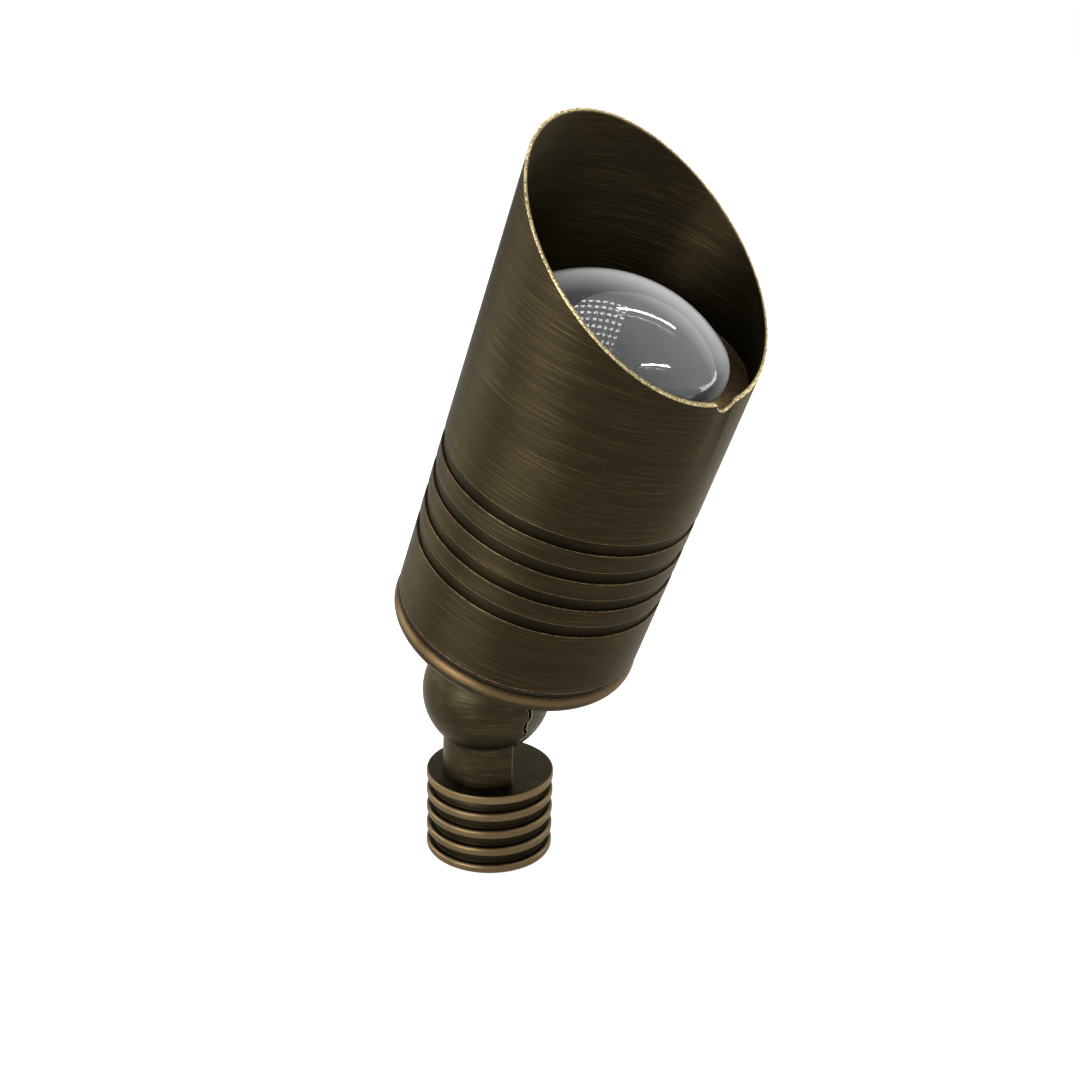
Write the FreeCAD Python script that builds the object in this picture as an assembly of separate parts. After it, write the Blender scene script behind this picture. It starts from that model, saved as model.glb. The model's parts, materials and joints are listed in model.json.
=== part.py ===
"""Brass garden spotlight: a lamp tube with a slanted hood on a toothed knuckle and a ribbed hub.

Frame: millimetres, +Z up, origin at the centre of the hub's bottom face, -Y the way the light leans.
The knuckle's pivot runs along X. Head pieces are built upright in the head's own frame, with its origin
on the pivot and +Z along the lamp tube, and are then leaned forward by one tooth of the knuckle.
"""
import FreeCAD, Part
import math
import os

V = FreeCAD.Vector
X_AXIS = V(1, 0, 0)
Y_AXIS = V(0, 1, 0)
Z_AXIS = V(0, 0, 1)

# ---- Driving dimensions (mm, degrees) ----

# Play between pieces
thread_play = 0.05          # radial, screw thread against its hole
slip_play = 0.08            # radial, where one piece turns on another
drop_in_play = 0.2          # round a piece that is simply laid in its seat
seal_play = 0.05            # between a ring and the face that it wipes

# Ribbed hub
hub_radius = 17.15
hub_height = 23.0
rib_count = 5
rib_height = 2.4
rib_groove_depth = 1.8
rib_round = 0.5
hub_thread_radius = 9.95    # half-inch straight pipe thread, over its crests
hub_socket_depth = 11.0
hub_stop_thickness = 2.0
hub_stop_bore = 7.5
hub_lead_in = 0.8

# Knuckle: two toothed half balls, clamped along X
pivot_height = 46.7
ball_radius = 17.1
ball_shift = 1.5            # ball centre, from the stem's axis towards -X
split_shift = 1.95          # middle of the toothed joint, from the stem's axis towards -X
tooth_count = 16
tooth_height = 1.0
tooth_root_share = 0.72     # of the tooth pitch
tooth_tip_share = 0.34
tooth_ring_bore = 13.0
tooth_tip_gap = 0.1
neck_radius = 12.75
chamber_radius = 8.8
chamber_depth = 5.8
bolt_boss_radius = 5.0
wire_bore_radius = 2.0
wire_bore_wall = 0.8        # between the wire bore and the ring's seat in the flat
stud_length = 7.2
upper_foot_radius = 15.0
upper_foot_height = 2.4
nipple_length = 8.7
tilt_teeth = 1              # teeth that the head leans forward from upright

# Clamp bolt
bolt_radius = 3.0
bolt_length = 21.0
bolt_head_radius = 5.0
bolt_head_height = 6.0
hex_key_flats = 5.0
hex_key_depth = 3.0
washer_radius = 4.95
washer_thickness = 1.6
washer_split = 1.0
counterbore_radius = 5.3
counterbore_floor = 7.5     # from the stem's axis towards +X

# Sealing rings
knuckle_ring_radius = 11.2
knuckle_ring_section = 1.425
knuckle_ring_seat_depth = 0.8
neck_ring_radius = 12.5
neck_ring_section = 0.9
shroud_ring_section = 0.75

# Base cap with its rolled edge
cap_underside = 21.3        # above the pivot
cap_bead_radius = 3.1
cap_overhang = 0.25         # of the rolled edge, past the tube
cap_floor_thickness = 4.2
cap_step_rise = 5.7         # from the underside up to the step under the tube
spigot_wall = 3.0
spigot_height = 13.0

# Knuckle nut and wire seal
nut_washer_thickness = 0.8
nut_washer_radius = 13.5
nut_flats = 27.0
nut_height = 3.5
seal_radius = 6.0
seal_depth = 7.0
seal_flange_radius = 6.9
seal_flange_height = 0.8
lead_radius = 0.9
seal_hole_offset = 2.2

# Shroud tube
tube_radius = 31.75
tube_gap = 1.6              # between the cap's step and the tube, round the ring
body_wall = 1.8
hood_wall = 0.8
ledge_thickness = 1.8
hood_height = 22.1          # from the ledge up to where the cut plane crosses the tube's axis
cut_angle = 29.8            # of the cut plane, from square
shroud_aim = 3.0            # how far the hood stands turned from dead ahead
groove_count = 4
groove_first = 18.3         # above the tube's bottom edge
groove_pitch = 8.13
groove_height = 3.25
groove_depth = 0.6
edge_break = 0.25
notch_radius = 3.5
notch_depth = 1.8

# Lens
lens_play = 0.15
lens_flange_play = 0.75     # between the flange and the tube's bore
lens_flange_width = 3.33
lens_shoulder_round = 5.2
lens_dome_height = 13.2
lens_dome_radius = 35.9
lens_wall = 3.2
lens_flange_height = 3.0
gasket_thickness = 1.0
gasket_play = 0.63          # between the gasket and the dome's foot
lens_ring_height = 3.5
lens_ring_width = 5.4
lamp_gap = 1.9              # between the lamp's rim and the lens ring
spanner_slot_width = 3.0
spanner_slot_depth = 1.5

# Socket bracket and lamp holder
bracket_height = 12.5
bracket_sheet = 1.0
bracket_width = 12.0
bracket_end_gap = 1.37      # between its feet and the spigot's bore
bracket_foot = 7.6
bracket_bend = 1.0
bracket_window = (9.0, 5.0)
screw_radius = 1.5
screw_head_radius = 2.75
screw_head_height = 1.8
bracket_screw_depth = 3.2
holder_height = 12.5
holder_body = (15.0, 15.0)
holder_length = 27.0
holder_ear_height = 7.0
holder_screw_span = 20.0
pin_spacing = 5.33
pin_radius = 0.75
pin_length = 7.0
pin_hole_radius = 1.05
pin_hole_depth = 8.3
contact_pocket_radius = 1.6
contact_wall = 0.2
contact_tail_drop = 2.7

# Socket leads and their crimp caps
lead_loop_radius = 7.65
crimp_radius = 2.6
crimp_length = 11.0
crimp_bore_radius = 1.9
crimp_bore_depth = 5.0

# Reflector lamp
lamp_length = 45.0
lamp_rim_radius = 25.3
lamp_rim_height = 4.0
lamp_glass_wall = 1.5
lamp_throat_radius = 7.5
lamp_throat_height = 11.0
lamp_floor = 1.0
lamp_belly_radius = 19.8
lamp_belly_height = 24.0
lamp_base_size = (16.5, 10.5)
lamp_slot_size = (9.5, 5.0)
front_glass_thickness = 1.8
cement_depth = 8.0
capsule_radius = 4.4
capsule_height = 15.0
pinch_size = (8.0, 3.0)
pinch_depth = 5.0

# ---- Sizes that follow from them ----

tilt = tilt_teeth * 360.0 / tooth_count
rib_groove_height = (hub_height - rib_count * rib_height) / (rib_count - 1)
stud_radius = hub_thread_radius - thread_play
lower_flat = -split_shift - tooth_tip_gap / 2 - tooth_height
upper_flat = -split_shift + tooth_tip_gap / 2 + tooth_height
neck_bottom = hub_height - pivot_height
washer_seat = counterbore_floor
bolt_head_seat = washer_seat + washer_thickness
cap_radius = tube_radius + cap_overhang
cap_floor = cap_underside + cap_floor_thickness
cap_step_height = cap_underside + cap_step_rise
spigot_top = cap_step_height + spigot_height
tube_bottom = cap_step_height + tube_gap
tube_bore = tube_radius - body_wall
hood_bore = tube_radius - hood_wall
spigot_radius = tube_bore - slip_play
spigot_bore = spigot_radius - spigot_wall
bracket_end = spigot_bore - bracket_end_gap
bracket_leg = bracket_end - bracket_foot
bracket_screw_span = bracket_end + bracket_leg + bracket_bend
holder_seat = cap_floor + bracket_height + bracket_sheet
holder_top = holder_seat + holder_height
lamp_rim_top = holder_top + lamp_length
lens_ring_bottom = lamp_rim_top + lamp_gap
lens_bottom = lens_ring_bottom + lens_ring_height
gasket_bottom = lens_bottom + lens_flange_height
ledge_bottom = gasket_bottom + gasket_thickness
ledge_top = ledge_bottom + ledge_thickness
cut_height = ledge_top + hood_height
lens_flange_radius = tube_bore - lens_flange_play
lens_radius = lens_flange_radius - lens_flange_width
lead_top = holder_seat + holder_height - pin_hole_depth - contact_tail_drop


# ---- Shape helpers ----

def turned(*steps):
    """Solid of revolution about Z. A step (r, z) draws a line, ((r, z), (r, z)) an arc through the first."""
    def point(rz):
        return V(rz[0], 0, rz[1])
    edges = []
    here = point(steps[0])
    for step in steps[1:] + steps[:1]:
        if isinstance(step[0], tuple):
            through, end = point(step[0]), point(step[1])
            edges.append(Part.Arc(here, through, end).toShape())
        else:
            end = point(step)
            if end.distanceToPoint(here) > 1e-6:
                edges.append(Part.LineSegment(here, end).toShape())
        here = end
    return Part.Face(Part.Wire(edges)).revolve(V(0, 0, 0), Z_AXIS, 360)


def ring(inner, outer, bottom, top):
    """Plain turned ring."""
    return turned((inner, bottom), (outer, bottom), (outer, top), (inner, top))


def upright(radius, bottom, top, x=0.0, y=0.0):
    """Cylinder along Z."""
    return Part.makeCylinder(radius, top - bottom, V(x, y, bottom), Z_AXIS)


def crosswise(radius, start, end):
    """Cylinder along the pivot, from one X to another."""
    return Part.makeCylinder(radius, end - start, V(start, 0, 0), X_AXIS)


def block(size_x, size_y, bottom, top, x=0.0, y=0.0):
    """Box centred on a place in plan."""
    return Part.makeBox(size_x, size_y, top - bottom, V(x - size_x / 2, y - size_y / 2, bottom))


def rounded_rims(solid, radius, rim_radius):
    """Round the full-circle edges that lie at one radius from Z."""
    rims = [e for e in solid.Edges
            if isinstance(e.Curve, Part.Circle) and abs(e.Curve.Radius - rim_radius) < 1e-6
            and e.Length > 1.9 * math.pi * rim_radius]
    return solid.makeFillet(radius, rims)


def hexagon(flats, bottom, top):
    """Upright hexagonal prism, given its size across flats."""
    corner = flats / math.sqrt(3)
    points = [V(corner * math.cos(math.radians(60 * k)), corner * math.sin(math.radians(60 * k)), bottom)
              for k in range(7)]
    return Part.Face(Part.makePolygon(points)).extrude(V(0, 0, top - bottom))


def slot_block(length, width, bottom, top):
    """Upright block with round ends, long along Y."""
    half = (length - width) / 2
    return (block(width, 2 * half, bottom, top)
            .fuse(upright(width / 2, bottom, top, y=half))
            .fuse(upright(width / 2, bottom, top, y=-half)).removeSplitter())


def round_ring(ring_radius, section, height):
    """Ring of round section about Z."""
    return Part.makeTorus(ring_radius, section, V(0, 0, height), Z_AXIS)


def along_pivot(solid):
    """Turn a piece built along Z so that it lies along the pivot, Z to +X."""
    turned_over = solid.copy()
    turned_over.rotate(V(0, 0, 0), Y_AXIS, 90)
    return turned_over


def on_stem(solid):
    """Lift a piece from the pivot's frame to its place on the stem."""
    placed = solid.copy()
    placed.translate(V(0, 0, pivot_height))
    return placed


def on_head(solid):
    """Lean a head piece forward about the pivot and lift it to its place."""
    leaned = solid.copy()
    leaned.rotate(V(0, 0, 0), X_AXIS, tilt)
    return on_stem(leaned)


def on_shroud(solid):
    """Turn a shroud piece to the hood's aim, then place it with the head."""
    aimed = solid.copy()
    aimed.rotate(V(0, 0, 0), Z_AXIS, shroud_aim)
    return on_head(aimed)


# ---- Stem ----

def ribbed_hub():
    """Coupling: round ribs outside, the stake's thread below and the stud's thread above a stop."""
    top = hub_height - rib_height
    profile = [(hub_radius - rib_groove_depth, top)]
    for k in range(rib_count - 1):
        rib_top = top - rib_groove_height - k * (rib_height + rib_groove_height)
        rib_bottom = rib_top - rib_height
        profile += [(hub_radius - rib_groove_depth, rib_top), (hub_radius, rib_top), (hub_radius, rib_bottom),
                    (hub_radius - rib_groove_depth, rib_bottom)]
    stop_top = hub_socket_depth + hub_stop_thickness
    inside = [(hub_thread_radius + hub_lead_in, 0), (hub_thread_radius, hub_lead_in),
              (hub_thread_radius, hub_socket_depth), (hub_stop_bore, hub_socket_depth),
              (hub_stop_bore, stop_top), (hub_thread_radius, stop_top), (hub_thread_radius, top)]
    hub = turned(*profile[:-1], *inside)
    return rounded_rims(hub, rib_round, hub_radius)


def tooth(phase, direction, flat):
    """One radial tooth that stands on a knuckle flat and points along direction (+1 or -1) times X."""
    pitch = 2 * math.pi / tooth_count
    outer = ball_radius + 1
    sections = []
    for radius in (tooth_ring_bore, outer):
        root = radius * pitch * tooth_root_share / 2
        tip = radius * pitch * tooth_tip_share / 2
        base = flat - direction * tooth_height
        corners = [(base, -2 * root + tip), (base, 2 * root - tip),
                   (flat + direction * tooth_height, tip), (flat + direction * tooth_height, -tip)]
        sections.append(Part.makePolygon([V(x, y, -radius) for x, y in corners + corners[:1]]))
    wedge = Part.makeLoft(sections, True, True)
    wedge.rotate(V(0, 0, 0), X_AXIS, -phase)
    return wedge


def knuckle_half(side, first_tooth, neck_end):
    """Half ball with its neck, chamber, bolt boss and teeth. Side -1 is the stem's half, +1 the head's."""
    flat = lower_flat if side < 0 else upper_flat
    ball = Part.makeSphere(ball_radius, V(-ball_shift, 0, 0), X_AXIS)
    neck = upright(neck_radius, min(neck_end, 0), max(neck_end, 0))
    reach = 2 * ball_radius
    keep = Part.makeBox(reach, 2 * reach, 4 * reach, V(flat if side > 0 else flat - reach, -reach, -2 * reach))
    half = ball.fuse(neck).removeSplitter().common(keep)
    pitch_angle = 360.0 / tooth_count
    half = half.fuse([tooth(first_tooth + k * pitch_angle, -side, flat).common(ball) for k in range(tooth_count)])
    floor = flat + side * chamber_depth
    chamber = crosswise(chamber_radius, min(flat, floor), max(flat, floor)).cut(
        crosswise(bolt_boss_radius, min(flat, floor), max(flat, floor)))
    return half.cut(chamber)


def wire_bore(side, start, end):
    """Wire way behind the knuckle ring's seat, from the chamber down the stud or up the nipple."""
    flat = lower_flat if side < 0 else upper_flat
    set_back = knuckle_ring_seat_depth + wire_bore_wall + wire_bore_radius
    return upright(wire_bore_radius, start, end, x=flat + side * set_back)


def lower_knuckle():
    """Stem's half: teeth towards +X, the round foot that is the hub's top rib, and the threaded stud."""
    half = knuckle_half(-1, 180.0 / tooth_count / 2 + 180.0 / tooth_count, neck_bottom)
    foot = rounded_rims(upright(hub_radius, neck_bottom - rib_height, neck_bottom), rib_round, hub_radius)
    stud_end = neck_bottom - rib_height - stud_length
    stud = upright(stud_radius, stud_end, neck_bottom - rib_height)
    half = half.fuse([foot, stud])
    ring_seat = crosswise(knuckle_ring_radius + knuckle_ring_section + seal_play,
                          lower_flat - knuckle_ring_seat_depth, lower_flat)
    ring_seat = ring_seat.cut(crosswise(knuckle_ring_radius - knuckle_ring_section - seal_play,
                                        lower_flat - knuckle_ring_seat_depth, lower_flat))
    bolt_hole = crosswise(bolt_radius + thread_play, bolt_head_seat - bolt_length - 1.0, lower_flat)
    half = half.cut(ring_seat).cut(bolt_hole)
    return half.cut(wire_bore(-1, stud_end, -chamber_radius + 1.0)).removeSplitter()


def upper_knuckle():
    """Head's half: teeth towards -X, counterbore for the clamp bolt, round foot and threaded nipple."""
    half = knuckle_half(1, 180.0 / tooth_count / 2, cap_underside - upper_foot_height)
    foot = upright(upper_foot_radius, cap_underside - upper_foot_height, cap_underside)
    nipple_top = cap_underside + nipple_length
    nipple = upright(stud_radius, cap_underside, nipple_top)
    half = half.fuse([foot, nipple])
    half = half.cut(crosswise(bolt_radius + slip_play, upper_flat, counterbore_floor))
    half = half.cut(crosswise(counterbore_radius, counterbore_floor, ball_radius + 2))
    half = half.cut(upright(seal_radius + drop_in_play / 2, nipple_top - seal_depth, nipple_top))
    return half.cut(wire_bore(1, chamber_radius - 1.0, nipple_top - seal_depth)).removeSplitter()


def knuckle_o_ring():
    """Ring between the halves, seated in the stem's half."""
    centre = lower_flat - knuckle_ring_seat_depth + knuckle_ring_section
    return along_pivot(round_ring(knuckle_ring_radius, knuckle_ring_section, centre))


def clamp_bolt():
    """Socket-head cap screw along the pivot, its head at +X."""
    seat = bolt_head_seat
    head = rounded_rims(upright(bolt_head_radius, seat, seat + bolt_head_height), 0.4, bolt_head_radius)
    shank = upright(bolt_radius, seat - bolt_length, seat)
    bolt = head.fuse(shank).cut(hexagon(hex_key_flats, seat + bolt_head_height - hex_key_depth,
                                        seat + bolt_head_height + 1))
    return along_pivot(bolt)


def spring_washer():
    """Split washer between the bolt's head and the counterbore's floor."""
    washer = ring(bolt_radius + drop_in_play, washer_radius, washer_seat, bolt_head_seat)
    split = block(washer_radius * 2, washer_split, washer_seat - 1, bolt_head_seat + 1, x=washer_radius)
    split.rotate(V(washer_radius, 0, (washer_seat + bolt_head_seat) / 2), X_AXIS, 25)
    return along_pivot(washer.cut(split))


# ---- Head ----

def base_cap():
    """Cap with the rolled edge, the spigot for the shroud, and tapped holes for the bracket."""
    bead_centre_r = cap_radius - cap_bead_radius
    bead_centre_z = cap_underside + cap_bead_radius
    step_radius = bead_centre_r + math.sqrt(cap_bead_radius ** 2 - (cap_step_height - bead_centre_z) ** 2)
    cap = turned((stud_radius + thread_play, cap_underside), (bead_centre_r, cap_underside),
                 ((cap_radius, bead_centre_z), (step_radius, cap_step_height)),
                 (spigot_radius, cap_step_height), (spigot_radius, spigot_top - 1.0),
                 (spigot_radius - 1.0, spigot_top), (spigot_bore, spigot_top), (spigot_bore, cap_floor),
                 (stud_radius + thread_play, cap_floor))
    seat = ring(neck_ring_radius - neck_ring_section - seal_play, neck_ring_radius + neck_ring_section + seal_play,
                cap_underside, cap_underside + 2 * neck_ring_section + seal_play)
    cap = cap.cut(seat)
    for side in (-1, 1):
        cap = cap.cut(upright(screw_radius + thread_play, cap_floor - bracket_screw_depth, cap_floor,
                              y=side * bracket_screw_span / 2))
    return cap


def neck_o_ring():
    """Ring between the knuckle's foot and the base cap."""
    return round_ring(neck_ring_radius, neck_ring_section, cap_underside + neck_ring_section)


def nut_washer():
    """Flat washer under the knuckle nut."""
    return ring(stud_radius + drop_in_play, nut_washer_radius, cap_floor, cap_floor + nut_washer_thickness)


def knuckle_nut():
    """Thin hexagon nut on the nipple, its corners turned off."""
    bottom = cap_floor + nut_washer_thickness
    corner = nut_flats / math.sqrt(3)
    nut = hexagon(nut_flats, bottom, bottom + nut_height)
    envelope = turned((0, bottom), (corner - 0.6, bottom), (corner, bottom + 0.6),
                      (corner, bottom + nut_height - 0.6), (corner - 0.6, bottom + nut_height),
                      (0, bottom + nut_height))
    return nut.common(envelope).cut(upright(stud_radius + thread_play, bottom - 1, bottom + nut_height + 1))


def wire_seal():
    """Silicone plug in the nipple, with a hole for each lead wire of the supply."""
    top = cap_underside + nipple_length
    plug = upright(seal_radius, top - seal_depth, top).fuse(
        upright(seal_flange_radius, top, top + seal_flange_height)).removeSplitter()
    for side in (-1, 1):
        plug = plug.cut(upright(lead_radius, top - seal_depth - 1, top + seal_flange_height + 1,
                                x=side * seal_hole_offset))
    return plug


def shroud_o_ring():
    """Ring in the gap between the rolled edge and the tube."""
    centre = (cap_step_height + tube_bottom) / 2
    return round_ring(spigot_radius + seal_play + shroud_ring_section, shroud_ring_section, centre)


def socket_bracket():
    """Bridge bent from strip: two feet, two legs and a top plate with a window for the leads."""
    top = cap_floor + bracket_height + bracket_sheet
    half, sheet = bracket_leg, bracket_sheet
    right = [(bracket_end, cap_floor), (bracket_end, cap_floor + sheet), (half, cap_floor + sheet), (half, top)]
    right_inner = [(half - sheet, top - sheet), (half - sheet, cap_floor)]
    outline = right + [(-y, z) for y, z in reversed(right)]
    outline += [(-y, z) for y, z in reversed(right_inner)] + right_inner
    points = [V(-bracket_width / 2, y, z) for y, z in outline + outline[:1]]
    strip = Part.Face(Part.makePolygon(points)).extrude(V(bracket_width, 0, 0))
    bends = {(half, top): bracket_bend + sheet, (half - sheet, top - sheet): bracket_bend,
             (half, cap_floor + sheet): bracket_bend, (half - sheet, cap_floor): bracket_bend + sheet}
    for (y, z), radius in bends.items():
        edges = [e for e in strip.Edges if abs(e.Length - bracket_width) < 1e-6
                 and abs(abs(e.CenterOfMass.y) - y) < 1e-4 and abs(e.CenterOfMass.z - z) < 1e-4]
        strip = strip.makeFillet(radius, edges)
    window = block(bracket_window[0], bracket_window[1], top - 2 * sheet, top + sheet)
    strip = strip.cut(window)
    for side in (-1, 1):
        strip = strip.cut(upright(screw_radius + thread_play, top - 2 * sheet, top + sheet,
                                  y=side * holder_screw_span / 2))
        strip = strip.cut(upright(screw_radius + drop_in_play, cap_floor - sheet, cap_floor + 2 * sheet,
                                  y=side * bracket_screw_span / 2))
    return strip


def pan_screw(seat, end, y):
    """Pan-head screw pointing down, with a cross slot."""
    head = rounded_rims(upright(screw_head_radius, seat, seat + screw_head_height), 0.7, screw_head_radius)
    screw = head.fuse(upright(screw_radius, end, seat))
    for size in ((3.2, 0.7), (0.7, 3.2)):
        screw = screw.cut(block(size[0], size[1], seat + screw_head_height - 0.9, seat + screw_head_height + 1))
    screw.translate(V(0, y, 0))
    return screw


def bracket_screws():
    """Two screws that hold the bracket's feet to the base cap."""
    seat = cap_floor + bracket_sheet
    return Part.makeCompound([pan_screw(seat, cap_floor - bracket_screw_depth + 0.4, s * bracket_screw_span / 2)
                              for s in (-1, 1)])


def lamp_holder():
    """Ceramic two-pin socket: a square body between two lower ears."""
    ears = slot_block(holder_length, holder_body[0], holder_seat, holder_seat + holder_ear_height)
    body = block(holder_body[0], holder_body[1] - 1.0, holder_seat, holder_top)
    corners = [e for e in body.Edges if abs(e.Length - holder_height) < 1e-6]
    body = body.makeFillet(1.5, corners)
    holder = ears.fuse(body).removeSplitter()
    for side in (-1, 1):
        pin_x = side * pin_spacing / 2
        holder = holder.cut(upright(pin_hole_radius, holder_top - pin_hole_depth, holder_top, x=pin_x))
        holder = holder.cut(upright(contact_pocket_radius, holder_seat, holder_top - pin_hole_depth, x=pin_x))
        holder = holder.cut(upright(screw_radius + drop_in_play, holder_seat, holder_top,
                                    y=side * holder_screw_span / 2))
    return holder


def holder_contacts():
    """Two plated sleeves that grip the lamp's pins, each with a tail for its lead."""
    sleeve_bottom = holder_top - pin_hole_depth
    contacts = []
    for side in (-1, 1):
        sleeve = ring(pin_radius + 0.02, pin_radius + 0.02 + contact_wall, sleeve_bottom, sleeve_bottom + 6.0)
        tail = upright(pin_hole_radius, sleeve_bottom - contact_tail_drop, sleeve_bottom)
        contact = sleeve.fuse(tail)
        contact.translate(V(side * pin_spacing / 2, 0, 0))
        contacts.append(contact)
    return Part.makeCompound(contacts)


def holder_screws():
    """Two screws through the holder's ears into the bracket."""
    seat = holder_seat + holder_ear_height
    return Part.makeCompound([pan_screw(seat, holder_seat - bracket_sheet - 0.6, s * holder_screw_span / 2)
                              for s in (-1, 1)])


def socket_leads():
    """Two short leads: down out of the holder, round a half circle and up into their crimp caps."""
    leads = []
    for side in (-1, 1):
        start_x = side * pin_spacing / 2
        end_x = side * (pin_spacing / 2 + 2 * lead_loop_radius)
        loop_z = holder_seat
        lead_end = loop_z + 0.5 + crimp_bore_depth
        down = Part.LineSegment(V(start_x, 0, lead_top), V(start_x, 0, loop_z)).toShape()
        loop = Part.Arc(V(start_x, 0, loop_z), V((start_x + end_x) / 2, 0, loop_z - lead_loop_radius),
                        V(end_x, 0, loop_z)).toShape()
        up = Part.LineSegment(V(end_x, 0, loop_z), V(end_x, 0, lead_end)).toShape()
        path = Part.Wire([down, loop, up])
        section = Part.Wire(Part.makeCircle(lead_radius, V(start_x, 0, lead_top), V(0, 0, -1)))
        lead = path.makePipeShell([section], True, True)
        want = math.pi * lead_radius ** 2 * path.Length
        print("lead: length %.1f mm, bend radius %.2f mm, volume share %.4f"
              % (path.Length, lead_loop_radius, lead.Volume / want))
        leads.append(lead)
    return Part.makeCompound(leads)


def crimp_caps():
    """Closed-end caps that join each socket lead to its supply wire."""
    caps = []
    mouth = holder_seat + 0.5
    for side in (-1, 1):
        x = side * (pin_spacing / 2 + 2 * lead_loop_radius)
        cap = upright(crimp_radius, mouth, mouth + crimp_length)
        cap = rounded_rims(cap, 0.8, crimp_radius)
        cap = cap.cut(upright(crimp_bore_radius, mouth, mouth + crimp_bore_depth))
        cap.translate(V(x, 0, 0))
        caps.append(cap)
    return Part.makeCompound(caps)


# ---- Lamp ----

def lamp_reflector():
    """Pressed-glass bowl with a thick rim and a flat two-pin base."""
    throat_z = holder_top + lamp_throat_height
    floor_top = throat_z + lamp_floor
    base = block(lamp_base_size[0], lamp_base_size[1], holder_top, floor_top)
    base = base.makeFillet(1.2, [e for e in base.Edges if abs(e.Length - floor_top + holder_top) < 1e-6])
    belly_z = holder_top + lamp_belly_height
    rim_z = lamp_rim_top - lamp_rim_height
    wall = lamp_glass_wall
    lip = lamp_rim_radius - wall
    bowl = turned((0, throat_z - lamp_floor), (lamp_throat_radius, throat_z - lamp_floor),
                  (lamp_throat_radius, throat_z),
                  ((lamp_belly_radius, belly_z), (lamp_rim_radius - 0.8, rim_z)),
                  (lamp_rim_radius, rim_z), (lamp_rim_radius, lamp_rim_top),
                  (lip, lamp_rim_top), (lip, lamp_rim_top - front_glass_thickness),
                  (lip - wall, lamp_rim_top - front_glass_thickness), (lip - wall, rim_z),
                  ((lamp_belly_radius - wall, belly_z + 0.4), (lamp_throat_radius - wall, floor_top)),
                  (0, floor_top))
    lamp = bowl.fuse(base).removeSplitter()
    return lamp.cut(block(lamp_slot_size[0], lamp_slot_size[1], holder_top, floor_top))


def lamp_cement():
    """Ceramic cement that fills the base's slot round the capsule's pinch and the pins."""
    top = holder_top + cement_depth
    cement = block(lamp_slot_size[0], lamp_slot_size[1], holder_top, top)
    cement = cement.cut(block(pinch_size[0], pinch_size[1], top - pinch_depth, top))
    for side in (-1, 1):
        cement = cement.cut(upright(pin_radius, holder_top, top - pinch_depth, x=side * pin_spacing / 2))
    return cement


def lamp_pins():
    """Two pins from the capsule's pinch down into the holder."""
    top = holder_top + cement_depth - pinch_depth
    return Part.makeCompound([upright(pin_radius, holder_top - pin_length, top, x=side * pin_spacing / 2)
                              for side in (-1, 1)])


def lamp_capsule():
    """Quartz capsule: a flat pinch below a round bulb with a domed end."""
    pinch_end = holder_top + cement_depth - pinch_depth
    bulb_bottom = holder_top + lamp_throat_height + lamp_floor + drop_in_play
    pinch = block(pinch_size[0], pinch_size[1], pinch_end, bulb_bottom + 0.5)
    shoulder = bulb_bottom + capsule_height - capsule_radius
    bulb = turned((0, bulb_bottom), (capsule_radius, bulb_bottom), (capsule_radius, shoulder),
                  ((capsule_radius * math.sqrt(0.5), shoulder + capsule_radius * math.sqrt(0.5)),
                   (0, shoulder + capsule_radius)))
    return pinch.fuse(bulb).removeSplitter()


def lamp_front_glass():
    """Flat glass set in the reflector's rim."""
    return upright(lamp_rim_radius - lamp_glass_wall - 0.05, lamp_rim_top - front_glass_thickness, lamp_rim_top)


# ---- Shroud ----

def shroud():
    """One-piece tube: four grooves, a slanted hood with a drain notch, and a ledge over the lens."""
    slope = math.tan(math.radians(cut_angle))
    blank_top = cut_height + slope * tube_radius + 5.0
    profile = [(tube_bore, tube_bottom), (tube_radius - edge_break, tube_bottom),
               (tube_radius, tube_bottom + edge_break)]
    for k in range(groove_count):
        low = tube_bottom + groove_first + k * groove_pitch
        profile += [(tube_radius, low), (tube_radius - groove_depth, low),
                    (tube_radius - groove_depth, low + groove_height), (tube_radius, low + groove_height)]
    profile += [(tube_radius, blank_top), (hood_bore, blank_top), (hood_bore, ledge_top),
                (lens_radius + lens_play, ledge_top), (lens_radius + lens_play, ledge_bottom),
                (tube_bore, ledge_bottom)]
    tube = turned(*profile)
    reach = 3 * tube_radius
    waste = Part.makeBox(2 * reach, 2 * reach, reach, V(-reach, -reach, 0))
    waste.rotate(V(0, 0, 0), X_AXIS, cut_angle)
    waste.translate(V(0, 0, cut_height))
    tube = tube.cut(waste)
    low_lip = cut_height - slope * tube_radius
    drill = Part.makeCylinder(notch_radius, tube_radius, V(0, 0, low_lip - notch_depth + notch_radius), V(0, -1, 0))
    return tube.cut(drill)


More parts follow.
